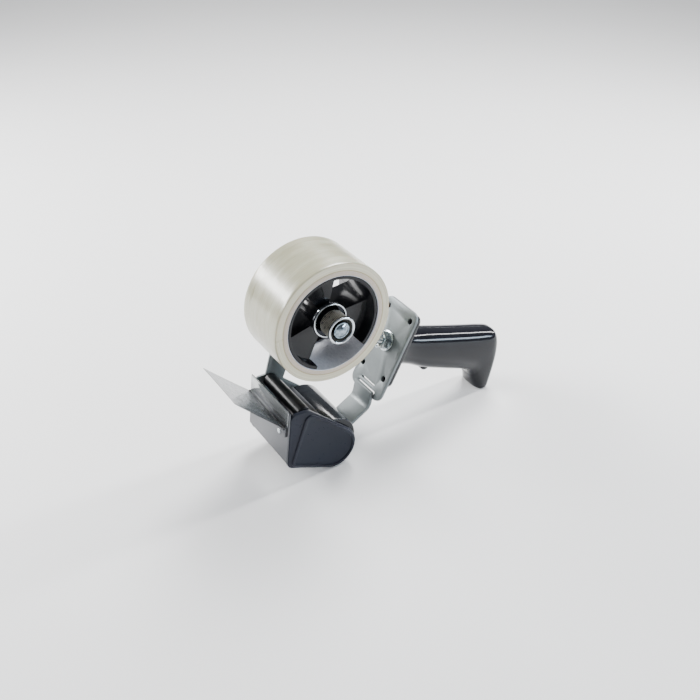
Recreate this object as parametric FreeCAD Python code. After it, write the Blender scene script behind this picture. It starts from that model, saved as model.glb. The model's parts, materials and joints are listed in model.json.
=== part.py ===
import FreeCAD
import Part
import math
import os

# Hand-held packing tape dispenser, standing on its head and on the heel of its handle.
# All sizes are in millimetres.  The shapes are laid out in the plane X-Z about the spindle
# (X towards the handle, Z up) and every axle, roller and roll runs along Y.  The side with
# the brake knob and the side cap is -Y.  At the end everything is moved so that the origin
# is the centre of the bottom of the whole object's bounding box.

V = FreeCAD.Vector

# ---- driving dimensions -------------------------------------------------------------------

# tape roll
TAPE_WIDTH = 48.0
CORE_BORE_R = 38.1              # standard 3 inch core
CORE_R = 41.6
TAPE_R = 48.0

# head
FLOOR_Z = -127.5
ROLLER_AXIS = (-4.0, -104.5)
ROLLER_R = 20.0
ROLLER_HALF_WIDTH = 26.8
GUIDE_AXIS = (-28.8, -68.6)
GUIDE_R = 6.0
AXLE_R = 4.0
GUIDE_PIN_R = 2.0
NOSE_CENTRE = (-4.0, -109.0)    # rounding of the side plates and cap round the roller
NOSE_R = 18.5
FRONT_TOP = (-37.0, -68.5)      # rounded front corners of the side cap
FRONT_BOTTOM = (-41.0, -107.5)
FRONT_R = 5.0
FRONT_SHOULDER = (-28.6, -70.3)
SHOULDER_R = 6.6
HEAD_HALF_WIDTH = 27.5          # inside faces of the two side plates
SIDE_T = 1.8
CAP_FACE_Y = -31.5
CAP_WALL = 1.8
CAP_RECESS = 1.0
CAP_STEP = 1.2
RIM_CIRCLES = ((-25.4, -73.4, 5.2), (-38.6, -107.4, 4.2), (-4.0, -109.0, 17.6))
RUN = 0.06                      # radial clearance of a running fit

# front plate, blade and film flap
FRONT_T = 1.2
FRONT_HALF_WIDTH = 30.0
FRONT_ABOVE = 7.0
FRONT_BELOW = 38.0
BLADE_T = 0.6
TOOTH_PITCH = 2.0
TOOTH_H = 1.4
FLAP_LENGTH = 52.0
FLAP_RISE = 44.0                # degrees above horizontal
FLAP_T = 0.6
FLAP_ROOT_HALF = 28.0
FLAP_TIP_HALF = 25.5
BEAD_R = 1.1

# handle plate, arm and handle
PLATE_BOTTOM = (41.6, -91.4)
PLATE_SLOPE = 62.4              # degrees, the plate's long way from horizontal
PLATE_LENGTH = 79.0
PLATE_HALF_WIDTH = 20.7
PLATE_T = 2.5
PLATE_CORNER_R = 7.0
HOLE_R = 2.4
HOLE_HALF_SPACING = 14.5
HOLES_UP = (19.4, 71.0)
BOLT_UP = 46.5
NOTCH_UP = 5.6                  # notch in the plate's lower edge that the arm is welded into
BOLT_R = 4.0
ARM_HALF_WIDTH = 11.8
ARM_T = 3.0
FLANGE_UP = (13.0, 77.0)
FLANGE_HALF_WIDTH = 19.6
GRIP_HALF_WIDTH = 14.0
GRIP_ROUND = 3.6                # lower edges of the grip
GRIP_TOP_ROUND = 9.0
GRIP_TOP_SLOPE = -17.7          # degrees, the grip's top edge

# spindle and brake, along Y
SPINDLE_R = 4.0
HUB_R = 37.8
HUB_RIM = 2.6
HUB_NEAR = -23.4
HUB_NOTCH = (280.0, 33.5)       # middle and half angle of the gap in the rim's near part
BOSS_R = 10.5
BUSH_R = 6.0
SPOKE_ANGLES = (-20.0, 100.0, 220.0)
SPOKE_HALF = 25.0
CUP_R = 13.8
SPRING_R = 6.2
SPRING_WIRE_R = 0.6
SPRING_PITCH = 1.7
SPRING_TURNS = 5
SPRING_START = -18.1
KNOB_R = 10.0
KNOB_TEETH = 56
KNOB_NEAR = -33.6
KNOB_FAR = -20.4


# ---- helpers ------------------------------------------------------------------------------

def at(point, y=0.0):
    return V(point[0], y, point[1])


def polar(centre, radius, degrees):
    angle = math.radians(degrees)
    return (centre[0] + radius * math.cos(angle), centre[1] + radius * math.sin(angle))


def wire_face(edges):
    return Part.Face(Part.Wire(edges))


def arc(a, b, c):
    return Part.Arc(at(a), at(b), at(c)).toShape()


def line(a, b):
    return Part.makeLine(at(a), at(b))


def slab(face, y0, y1):
    """A face in the X-Z plane, made solid from y0 to y1."""
    moved = face.copy()
    moved.translate(V(0, y0, 0))
    return moved.extrude(V(0, y1 - y0, 0))


def rod(centre, radius, y0, y1):
    return Part.makeCylinder(radius, y1 - y0, at(centre, y0), V(0, 1, 0))


def tube(centre, outer, inner, y0, y1):
    return rod(centre, outer, y0, y1).cut(rod(centre, inner, y0 - 1, y1 + 1))


def rounded(points):
    """Polygon of (x, z, corner radius), given anticlockwise, with every corner an arc."""
    edges = []
    ends = []
    count = len(points)
    for i in range(count):
        here = V(points[i][0], points[i][1], 0)
        before = V(*points[i - 1][:2], 0).sub(here)
        after = V(*points[(i + 1) % count][:2], 0).sub(here)
        radius = points[i][2]
        half = before.getAngle(after) / 2.0
        before.normalize()
        after.normalize()
        reach = radius / math.tan(half)
        middle = before.add(after)
        middle.normalize()
        start = here + before * reach
        stop = here + after * reach
        top = here + middle * (radius / math.sin(half) - radius)
        ends.append([(v.x, v.y) for v in (start, top, stop)])
    for i in range(count):
        start, top, stop = ends[i]
        if points[i][2] > 0:
            edges.append(arc(start, top, stop))
        edges.append(line(stop, ends[(i + 1) % count][0]))
    return wire_face(edges)


def belt(circles):
    """The outline of a belt round circles (x, z, radius), given anticlockwise."""
    touches = []
    count = len(circles)
    for i in range(count):
        x0, z0, r0 = circles[i]
        x1, z1, r1 = circles[(i + 1) % count]
        distance = math.hypot(x1 - x0, z1 - z0)
        heading = math.degrees(math.atan2(z1 - z0, x1 - x0))
        normal = heading - 90.0 + math.degrees(math.asin((r0 - r1) / distance))
        touches.append((polar((x0, z0), r0, normal), polar((x1, z1), r1, normal), normal))
    edges = []
    for i in range(count):
        x, z, r = circles[i]
        start = touches[i - 1]
        stop = touches[i]
        turn = (stop[2] - start[2]) % 360.0
        edges.append(arc(start[1], polar((x, z), r, start[2] + turn / 2.0), stop[0]))
        edges.append(line(stop[0], stop[1]))
    return wire_face(edges)


def hexagon(across, y0, y1):
    points = [polar((0, 0), across / math.sqrt(3), 60 * i) for i in range(6)]
    edges = [line(points[i - 1], points[i]) for i in range(6)]
    body = slab(wire_face(edges), y0, y1)
    crown = Part.makeSphere(across * 0.62, V(0, (y0 + y1) / 2, 0))
    return body.common(crown)


class Plane:
    """A flat frame whose 'up' lies in the X-Z plane; 'out' is up turned 90 degrees left."""

    def __init__(self, origin, up_degrees):
        angle = math.radians(up_degrees)
        self.origin = at(origin)
        self.up = V(math.cos(angle), 0, math.sin(angle))
        self.out = V(-math.sin(angle), 0, math.cos(angle))
        self.up_degrees = up_degrees

    def xz(self, up, out):
        p = self.origin + self.up * up + self.out * out
        return (p.x, p.z)

    def place(self, shape):
        """Move a shape drawn with X = up and Z = out into this plane."""
        moved = shape.copy()
        moved.rotate(V(0, 0, 0), V(0, -1, 0), self.up_degrees)
        moved.translate(self.origin)
        return moved

    def sheet(self, up0, up1, half_width, out0, out1, corner=0.0):
        """A rectangular plate with rounded corners lying in the plane."""
        plate = Part.makeBox(up1 - up0, 2 * half_width, out1 - out0, V(up0, -half_width, out0))
        if corner > 0:
            edges = [e for e in plate.Edges if abs(e.tangentAt(e.FirstParameter).z) > 0.99]
            plate = plate.makeFillet(corner, edges)
        return self.place(plate)

    def pin(self, up, y, radius, out0, out1):
        return self.place(Part.makeCylinder(radius, out1 - out0, V(up, y, out0), V(0, 0, 1)))


FRONT_LEAN = math.degrees(math.atan2(FRONT_TOP[1] - FRONT_BOTTOM[1], FRONT_TOP[0] - FRONT_BOTTOM[0]))
FRONT = Plane(polar(FRONT_TOP, FRONT_R + 0.1, FRONT_LEAN + 90.0), FRONT_LEAN)
BACK = Plane(PLATE_BOTTOM, PLATE_SLOPE)
WEB_T = 2.0
WEB_LENGTH = 14.5
WEB = Plane(polar(ROLLER_AXIS, ROLLER_R + 1.2, -15.0), 67.5)
FLAP = Plane(FRONT.xz(-6.0, 3.6), 180.0 - FLAP_RISE)


# ---- tape roll ----------------------------------------------------------------------------

def tape_core():
    half = TAPE_WIDTH / 2 + 0.2
    core = tube((0, 0), CORE_R, CORE_BORE_R, -half, half)
    rims = [e for e in core.Edges if abs(e.Length - 2 * math.pi * CORE_R) < 0.01]
    return core.makeChamfer(0.25, rims)


def tape_wrap():
    half = TAPE_WIDTH / 2
    roll = tube((0, 0), TAPE_R, CORE_R, -half, half)
    rims = [e for e in roll.Edges if abs(e.Length - 2 * math.pi * TAPE_R) < 0.01]
    return roll.makeFillet(0.5, rims)


# ---- hub, spindle and brake ---------------------------------------------------------------

def wedge(inner, outer, middle, half, y0, y1):
    """A sector of a ring, from the inner to the outer radius, about the spindle."""
    low = middle - half
    high = middle + half
    edges = [
        arc(polar((0, 0), inner, high), polar((0, 0), inner, middle), polar((0, 0), inner, low)),
        line(polar((0, 0), inner, low), polar((0, 0), outer, low)),
        arc(polar((0, 0), outer, low), polar((0, 0), outer, middle), polar((0, 0), outer, high)),
        line(polar((0, 0), outer, high), polar((0, 0), inner, high)),
    ]
    return slab(wire_face(edges), y0, y1)


def hub():
    """Open hub: a rim, a boss and three wide dished spokes, with a flange on the far side."""
    rim = tube((0, 0), HUB_R, HUB_R - HUB_RIM, HUB_NEAR, 24.3)
    flange = tube((0, 0), HUB_R + 2.4, HUB_R - HUB_RIM, 24.6, 26.2)
    boss = rod((0, 0), BOSS_R, -14.6, 21.8)
    shape = rim.fuse([flange, rod((0, 0), HUB_R, 24.0, 26.2).cut(rod((0, 0), HUB_R - HUB_RIM, 23, 27)), boss])
    for angle in SPOKE_ANGLES:
        shape = shape.fuse(wedge(BOSS_R - 1.0, HUB_R - 0.5, angle, SPOKE_HALF, -12.5, -8.5))
        shape = shape.fuse(wedge(BOSS_R - 1.0, HUB_R - 0.5, angle - SPOKE_HALF + 1.4, 1.4, -12.5, 18.0))
        shape = shape.fuse(wedge(BOSS_R - 1.0, HUB_R - 0.5, angle + SPOKE_HALF - 1.4, 1.4, -12.5, 18.0))
    shape = shape.cut(wedge(HUB_R - HUB_RIM - 2.0, HUB_R + 1.0, *HUB_NOTCH, HUB_NEAR - 1.0, 12.0))
    shape = shape.cut(rod((0, 0), BUSH_R, -16, 23))
    return shape.removeSplitter()


def hub_bushing():
    return tube((0, 0), BUSH_R, SPINDLE_R + RUN, -14.6, 21.8)


def spindle():
    """Hex-headed bolt through the far side plate, pointing to the near side."""
    head = hexagon(13.0, HEAD_HALF_WIDTH + SIDE_T, HEAD_HALF_WIDTH + SIDE_T + 5.3)
    shank = rod((0, 0), SPINDLE_R, -33.0, HEAD_HALF_WIDTH + SIDE_T)
    return head.fuse(shank).removeSplitter()


def spindle_spacer():
    return tube((0, 0), 8.5, SPINDLE_R, 22.2, HEAD_HALF_WIDTH)


def friction_washer():
    return tube((0, 0), 10.0, SPINDLE_R, -16.4, -15.0)


def spring_cup():
    """Dished cup that the brake spring sits in."""
    outer = rod((0, 0), CUP_R, -19.2, -16.4)
    hollow = rod((0, 0), CUP_R - 1.0, -20.0, -17.4)
    bore = rod((0, 0), SPINDLE_R, -20.0, -16.0)
    cup = outer.cut(hollow).cut(bore)
    rims = [e for e in cup.Edges if abs(e.Length - 2 * math.pi * CUP_R) < 0.01]
    return cup.makeFillet(0.45, rims)


def brake_spring():
    """Compression spring between the cup and the sliding washer, as a stack of closed turns."""
    turns = []
    for i in range(SPRING_TURNS):
        y = SPRING_START - i * SPRING_PITCH
        turns.append(Part.makeTorus(SPRING_R, SPRING_WIRE_R, V(0, y, 0), V(0, 1, 0)))
    return Part.makeCompound(turns)


def spring_washer():
    return tube((0, 0), 7.6, SPINDLE_R + RUN, -28.0, -27.0)


def knurled_face(radius, depth, teeth):
    """Outline of a straight knurl: shallow teeth worked out round the circle."""
    points = []
    for i in range(teeth):
        points.append(polar((0, 0), radius, 360.0 * i / teeth))
        points.append(polar((0, 0), radius - depth, 360.0 * (i + 0.5) / teeth))
    edges = [line(points[i - 1], points[i]) for i in range(len(points))]
    return wire_face(edges)


def brake_knob():
    """Knurled nut on the spindle's thread; its hollow holds the spring and washer."""
    body = slab(knurled_face(KNOB_R, 0.5, KNOB_TEETH), KNOB_NEAR, KNOB_FAR)
    body = body.cut(rod((0, 0), KNOB_R - 1.9, -28.2, KNOB_FAR + 1))
    body = body.cut(rod((0, 0), SPINDLE_R + RUN, KNOB_NEAR - 1, KNOB_FAR))
    return body.cut(rod((0, 0), 7.6, KNOB_NEAR - 1, KNOB_NEAR + 3.2))


def knob_ring():
    """Plated ring pressed on the outer end of the knob."""
    ring = tube((0, 0), KNOB_R + 0.9, 9.0, KNOB_NEAR - 1.5, KNOB_NEAR)
    outer = [e for e in ring.Edges if e.CenterOfMass.y < KNOB_NEAR - 1.4 and len(e.Vertexes) == 1]
    return ring.makeFillet(0.7, outer)


def cap_nut():
    """Domed nut that locks the end of the spindle."""
    skirt = rod((0, 0), 6.3, -34.4, -31.9)
    dome = Part.makeSphere(9.0, V(0, -27.2, 0)).common(rod((0, 0), 6.3, -37.0, -34.4))
    return skirt.fuse(dome).cut(rod((0, 0), SPINDLE_R, -33.0, -31.0)).removeSplitter()


# ---- head ---------------------------------------------------------------------------------

def head_outline(shrink):
    """Outline shared by the side cap and the plates; shrink draws it in."""
    return [
        (FRONT_TOP[0], FRONT_TOP[1], FRONT_R - shrink),
        (FRONT_BOTTOM[0], FRONT_BOTTOM[1], FRONT_R - shrink),
        (NOSE_CENTRE[0], NOSE_CENTRE[1], NOSE_R - shrink),
        (FRONT_SHOULDER[0], FRONT_SHOULDER[1], SHOULDER_R - shrink),
    ]


def rim_outline(shrink):
    """Outline of the raised rim on the cap's face; its front edge leans back from the cap's."""
    return [(x, z, r - shrink) for x, z, r in RIM_CIRCLES]


def side_cap():
    """Moulded cap over the near side of the head, with a raised D-shaped rim round a recess."""
    cap = slab(belt(head_outline(0.0)), CAP_FACE_Y + CAP_STEP, -HEAD_HALF_WIDTH)
    outer = [e for e in cap.Edges if e.CenterOfMass.y < CAP_FACE_Y + CAP_STEP + 0.1]
    cap = cap.makeFillet(0.7, outer)
    raised = slab(belt(rim_outline(0.0)), CAP_FACE_Y, CAP_FACE_Y + CAP_STEP + 0.1)
    outer = [e for e in raised.Edges if e.CenterOfMass.y < CAP_FACE_Y + 0.1]
    cap = cap.fuse(raised.makeFillet(0.8, outer))
    recess = slab(belt(rim_outline(2.4)), CAP_FACE_Y - 1, CAP_FACE_Y + CAP_RECESS)
    pocket = slab(belt(head_outline(CAP_WALL)), -HEAD_HALF_WIDTH - SIDE_T - 0.1, 0)
    return cap.cut(recess).cut(pocket)


def inner_side_plate():
    """Near steel side plate, hidden inside the cap."""
    plate = slab(belt(head_outline(CAP_WALL + 0.1)), -HEAD_HALF_WIDTH - SIDE_T, -HEAD_HALF_WIDTH)
    plate = plate.cut(rod(ROLLER_AXIS, AXLE_R, -40, 0))
    return plate.cut(rod(GUIDE_AXIS, GUIDE_PIN_R, -40, 0))


def hub_side_plate():
    """Far steel side plate: the head's outline, an arm up to the spindle and a rear ear."""
    y0 = HEAD_HALF_WIDTH
    y1 = HEAD_HALF_WIDTH + SIDE_T
    head = slab(belt(head_outline(0.1)), y0, y1)
    arm = slab(belt([(0.0, 0.0, 12.5), (-26.2, -75.0, 8.2)]), y0, y1)
    ear = slab(belt([(NOSE_CENTRE[0], NOSE_CENTRE[1], NOSE_R - 0.3), (12.5, -113.5, 8.0)]), y0, y1)
    plate = head.fuse([arm, ear]).removeSplitter()
    for centre, radius in ((ROLLER_AXIS, AXLE_R), (GUIDE_AXIS, GUIDE_PIN_R), ((0, 0), SPINDLE_R)):
        plate = plate.cut(rod(centre, radius, 0, 60))
    return plate


def rear_bracket():
    """Plate behind the roller, welded to the far side plate, that takes the arm."""
    web = Part.makeBox(WEB_LENGTH, HEAD_HALF_WIDTH + 18.0, WEB_T, V(-WEB_LENGTH, -18.0, -WEB_T))
    return WEB.place(web)


def roller_axle():
    shank = rod(ROLLER_AXIS, AXLE_R, -HEAD_HALF_WIDTH - SIDE_T, HEAD_HALF_WIDTH + SIDE_T + 4.0)
    return shank.makeChamfer(0.5, [e for e in shank.Edges if e.CenterOfMass.y > HEAD_HALF_WIDTH + SIDE_T + 3.9])


def axle_clip():
    """Push-on retaining ring for the end of the roller axle."""
    return tube(ROLLER_AXIS, 7.5, AXLE_R, HEAD_HALF_WIDTH + SIDE_T, HEAD_HALF_WIDTH + SIDE_T + 1.6)


def roller_core():
    """Plastic core of the applicator roller, running on the axle."""
    return tube(ROLLER_AXIS, 13.0, AXLE_R + RUN, -ROLLER_HALF_WIDTH, ROLLER_HALF_WIDTH)


def roller_rubber():
    sleeve = tube(ROLLER_AXIS, ROLLER_R, 13.0, -ROLLER_HALF_WIDTH, ROLLER_HALF_WIDTH)
    rims = [e for e in sleeve.Edges if abs(e.Length - 2 * math.pi * ROLLER_R) < 0.01]
    return sleeve.makeFillet(0.8, rims)


def guide_pin():
    return rod(GUIDE_AXIS, GUIDE_PIN_R, -HEAD_HALF_WIDTH - SIDE_T, HEAD_HALF_WIDTH + SIDE_T + 1.2)


def guide_roller():
    sleeve = tube(GUIDE_AXIS, GUIDE_R, GUIDE_PIN_R + RUN, -ROLLER_HALF_WIDTH, ROLLER_HALF_WIDTH)
    rims = [e for e in sleeve.Edges if abs(e.Length - 2 * math.pi * GUIDE_R) < 0.01]
    return sleeve.makeFillet(1.2, rims)


def tape_guide():
    """Curved spring-steel guard just off the roller, with its upper edge turned up."""
    inner = ROLLER_R + 0.7
    outer = inner + 0.7
    first = 103.0
    last = 186.0
    middle = (first + last) / 2
    edges = [
        arc(polar(ROLLER_AXIS, inner, last), polar(ROLLER_AXIS, inner, middle), polar(ROLLER_AXIS, inner, first)),
        line(polar(ROLLER_AXIS, inner, first), polar(ROLLER_AXIS, outer, first)),
        arc(polar(ROLLER_AXIS, outer, first), polar(ROLLER_AXIS, outer, middle), polar(ROLLER_AXIS, outer, last)),
        line(polar(ROLLER_AXIS, outer, last), polar(ROLLER_AXIS, inner, last)),
    ]
    return slab(wire_face(edges), -HEAD_HALF_WIDTH, HEAD_HALF_WIDTH)


# ---- front plate, blade and flap ----------------------------------------------------------

def front_plate():
    """Bright plate across the front of the head, with a bent tab down each side."""
    plate = FRONT.sheet(-FRONT_BELOW, FRONT_ABOVE, FRONT_HALF_WIDTH, 0.0, FRONT_T, 1.5)
    for y in (-HEAD_HALF_WIDTH + 0.6, HEAD_HALF_WIDTH - 0.6):
        tab = Part.makeBox(24.0, 1.2, 9.0, V(-30.0, y - 0.6, -8.9))
        plate = plate.fuse(FRONT.place(tab))
    return plate.removeSplitter()


def cutter_blade():
    """Thin blade on the upper part of the front plate, with teeth along its top edge."""
    top = FRONT_ABOVE + 0.2
    teeth = int(2 * (FRONT_HALF_WIDTH - 1) / TOOTH_PITCH)
    half = teeth * TOOTH_PITCH / 2
    points = [V(-5.0, -half, 0), V(top, -half, 0)]
    for i in range(teeth):
        points.append(V(top + TOOTH_H, -half + (i + 0.5) * TOOTH_PITCH, 0))
        points.append(V(top, -half + (i + 1) * TOOTH_PITCH, 0))
    points.append(V(-5.0, half, 0))
    face = Part.Face(Part.makePolygon(points + [points[0]]))
    face.translate(V(0, 0, FRONT_T))
    return FRONT.place(face.extrude(V(0, 0, BLADE_T)))


def flap_clamp():
    """Bar screwed to the front plate; a groove along its top holds the flap's bead."""
    bar = FRONT.sheet(-14.5, -5.0, FLAP_ROOT_HALF, FRONT_T, FRONT_T + 1.8)
    lip = FRONT.sheet(-9.8, -7.4, FLAP_ROOT_HALF, FRONT_T, FRONT_T + 3.4)
    groove = rod(FRONT.xz(-6.0, 3.6), BEAD_R + 0.15, -40, 40)
    return bar.fuse(lip).cut(groove).removeSplitter()


def clamp_screws():
    """Two small pan-head screws through the clamp into the front plate."""
    screws = []
    for y in (-21.0, 21.0):
        head = FRONT.pin(-12.2, y, 2.1, FRONT_T + 1.8, FRONT_T + 3.2)
        screws.append(head)
    return Part.makeCompound(screws)


def film_flap():
    """Tapered film that keeps the cut end of the tape down, with a round bead at its root."""
    outline = [
        V(0, -FLAP_ROOT_HALF, 0),
        V(FLAP_LENGTH, -FLAP_TIP_HALF, 0),
        V(FLAP_LENGTH, FLAP_TIP_HALF, 0),
        V(0, FLAP_ROOT_HALF, 0),
    ]
    face = Part.Face(Part.makePolygon(outline + [outline[0]]))
    face.translate(V(0, 0, -FLAP_T / 2))
    film = FLAP.place(face.extrude(V(0, 0, FLAP_T)))
    bead = rod(FRONT.xz(-6.0, 3.6), BEAD_R, -FLAP_ROOT_HALF, FLAP_ROOT_HALF)
    return film.fuse(bead).removeSplitter()


# ---- handle plate, arm and handle ---------------------------------------------------------

def back_plate():
    plate = BACK.sheet(0, PLATE_LENGTH, PLATE_HALF_WIDTH, -PLATE_T, 0, PLATE_CORNER_R)
    for up in HOLES_UP:
        for y in (-HOLE_HALF_SPACING, HOLE_HALF_SPACING):
            plate = plate.cut(BACK.pin(up, y, HOLE_R, -PLATE_T - 1, 1))
    plate = plate.cut(BACK.pin(BOLT_UP, 0, BOLT_R, -PLATE_T - 1, 1))
    plate = plate.cut(BACK.sheet(-5.0, NOTCH_UP, ARM_HALF_WIDTH, -PLATE_T - 1, 1))
    plate = plate.cut(BACK.sheet(NOTCH_UP + 3.0, NOTCH_UP + 4.8, ARM_HALF_WIDTH - 3.0, -PLATE_T - 1, 1, 0.85))
    broad = [e for e in plate.Edges if e.Length > 20]
    return plate.makeChamfer(0.3, broad)


def frame_arm():
    """Bent steel strap from the handle plate down to the bracket behind the roller."""
    path = [
        (40.8, -86.0, 0.0),
        (38.2, -98.8, 8.0),
        (*WEB.xz(0.6, -WEB_T), 9.0),
        (*WEB.xz(-WEB_LENGTH, -WEB_T), 0.0),
    ]
    return strap(path, ARM_T, ARM_HALF_WIDTH)


def strap(path, thick, half_width):
    """A strip of sheet bent along a path of (x, z, bend radius), the face towards the roll."""
    steps = []
    for i in range(1, len(path)):
        steps.append(V(path[i][0] - path[i - 1][0], path[i][1] - path[i - 1][1], 0).normalize())
    far_side = []
    for i, (x, z, radius) in enumerate(path):
        before = steps[max(i - 1, 0)]
        after = steps[min(i, len(steps) - 1)]
        normal = V(-before.y - after.y, before.x + after.x, 0).normalize()
        reach = thick / normal.dot(V(-before.y, before.x, 0))
        turn = before.cross(after).z
        bend = radius - math.copysign(thick, turn) if radius > 0 else 0.0
        far_side.append((x + normal.x * reach, z + normal.y * reach, bend))
    return slab(rounded(path + far_side[::-1]), -half_width, half_width)


def handle_bolt():
    """Threaded bolt from inside the handle, through the plate and its nut."""
    bolt = BACK.pin(BOLT_UP, 0, BOLT_R, -45.0, 13.5)
    return bolt.makeChamfer(0.6, [e for e in bolt.Edges if len(e.Vertexes) == 1 and e.Length < 26])


def handle_washer():
    ring = BACK.pin(BOLT_UP, 0, 8.5, 0, 1.4)
    return ring.cut(BACK.pin(BOLT_UP, 0, BOLT_R, -1, 3))


def handle_nut():
    nut = hexagon(13.0, 0, 6.4)
    nut.rotate(V(0, 0, 0), V(1, 0, 0), 90)
    nut.translate(V(BOLT_UP, 0, 1.4))
    return BACK.place(nut).cut(BACK.pin(BOLT_UP, 0, BOLT_R, -1, 20))


def grip_profile():
    """Side view of the moulded handle, from its flange to the heel it stands on."""
    return rounded([
        (*BACK.xz(31.0, -PLATE_T - 2.0), 0.0),
        (82.0, -76.5, 14.0),
        (97.0, -85.5, 30.0),
        (146.0, -105.5, 9.0),
        (152.0, FLOOR_Z, 4.2),
        (165.5, FLOOR_Z, 4.6),
        (175.8, -89.0, 12.0),
        (170.5, -74.5, 7.0),
        (*BACK.xz(57.0, -PLATE_T - 2.0), 0.0),
    ])


def grip_crown():
    """Long bar with a well-rounded top that follows the grip's top edge."""
    top = BACK.xz(57.0, -PLATE_T - 2.0)
    w = GRIP_HALF_WIDTH
    bar = Part.makeBox(160.0, 2 * w, 100.0, V(-20.0, -w, -100.0))
    corners = [e for e in bar.Edges if e.CenterOfMass.z > -0.1 and e.Length > 100.0]
    bar = bar.makeFillet(GRIP_TOP_ROUND, corners)
    bar.rotate(V(0, 0, 0), V(0, -1, 0), GRIP_TOP_SLOPE)
    bar.translate(at(top))
    return bar


def handle_grip():
    """Moulded grip with a flange against the handle plate."""
    grip = slab(grip_profile(), -GRIP_HALF_WIDTH, GRIP_HALF_WIDTH)
    outline = [e for e in grip.Edges if e.BoundBox.YLength < 0.01 and e.CenterOfMass.x > 75.0]
    grip = grip.makeFillet(GRIP_ROUND, outline).common(grip_crown())
    flange = BACK.sheet(FLANGE_UP[0], FLANGE_UP[1], FLANGE_HALF_WIDTH, -PLATE_T - 4.5, -PLATE_T, 6.0)
    nub = rod((99.0, -84.5), 4.5, -6.0, 6.0)
    shape = grip.fuse([flange, nub])
    return shape.cut(BACK.pin(BOLT_UP, 0, BOLT_R, -45.0, 10)).removeSplitter()


# ---- writing ------------------------------------------------------------------------------

def all_nodes():
    makers = [
        tape_core, tape_wrap,
        hub, hub_bushing, spindle, spindle_spacer, friction_washer, spring_cup, brake_spring,
        spring_washer, brake_knob, knob_ring, cap_nut,
        side_cap, inner_side_plate, hub_side_plate, rear_bracket, roller_axle, axle_clip,
        roller_core, roller_rubber, guide_pin, guide_roller, tape_guide,
        front_plate, cutter_blade, flap_clamp, clamp_screws, film_flap,
        back_plate, frame_arm, handle_bolt, handle_washer, handle_nut, handle_grip,
    ]
    return {maker.__name__: maker() for maker in makers}


def main():
    nodes = all_nodes()
    box = Part.makeCompound(list(nodes.values())).optimalBoundingBox(False, False)
    shift = V(-(box.XMin + box.XMax) / 2, -(box.YMin + box.YMax) / 2, -box.ZMin)
    print("shift", shift, "size", box.XLength, box.YLength, box.ZLength)
    os.makedirs("parts", exist_ok=True)
    for name, shape in nodes.items():
        shape.translate(shift)
        print(name, "valid", shape.isValid(), "solids", len(shape.Solids), "volume", round(shape.Volume, 1))
        shape.exportStep("parts/" + name + ".step")


main()
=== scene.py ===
import json
import math
import random

import bmesh
import bpy
from mathutils import Matrix, Vector


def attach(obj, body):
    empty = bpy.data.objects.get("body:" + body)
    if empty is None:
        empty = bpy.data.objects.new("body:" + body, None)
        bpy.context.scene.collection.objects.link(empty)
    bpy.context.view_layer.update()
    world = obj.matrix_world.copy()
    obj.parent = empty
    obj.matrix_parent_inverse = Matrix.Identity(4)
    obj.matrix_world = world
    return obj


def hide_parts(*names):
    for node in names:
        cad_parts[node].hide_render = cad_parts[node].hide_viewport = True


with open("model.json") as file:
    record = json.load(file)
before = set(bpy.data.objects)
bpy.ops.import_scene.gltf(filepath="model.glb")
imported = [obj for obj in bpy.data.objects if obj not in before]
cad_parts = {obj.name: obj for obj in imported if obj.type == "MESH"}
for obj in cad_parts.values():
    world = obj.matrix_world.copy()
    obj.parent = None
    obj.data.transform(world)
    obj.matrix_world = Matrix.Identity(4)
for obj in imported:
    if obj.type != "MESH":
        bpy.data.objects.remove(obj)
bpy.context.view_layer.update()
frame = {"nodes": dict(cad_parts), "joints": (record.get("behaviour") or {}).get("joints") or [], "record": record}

# Packing tape dispenser.  Metres throughout; every rolling part turns about an axis along Y.

MM = 0.001
JOINTS = {joint["name"]: joint for joint in frame["joints"]}


def joint_at(name):
    return Vector(JOINTS[name]["pos_m"])


SPINDLE = joint_at("hub_spin")
ROLLER = joint_at("roller_spin")
GUIDE = joint_at("guide_spin")
FLAP_ROOT = joint_at("flap_bend")
FLAP_UP = 136.0         # degrees, the film's direction from its root
PLATE_FOOT = SPINDLE + Vector((41.6, 0, -91.4)) * MM
PLATE_UP = 62.4         # degrees, the handle plate's long way

# Sizes that both a shape and its material use, in millimetres.
CORE_OUTER_R = 41.6
TAPE_R = 48.0
TAPE_HALF_WIDTH = 24.0
KNOB_R = 10.0
KNURL_ROOT_R = 9.35
CAP_PANEL_Y = -30.5     # face of the cap's recessed panel, from the spindle's middle


# ---- materials ----------------------------------------------------------------------------

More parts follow.
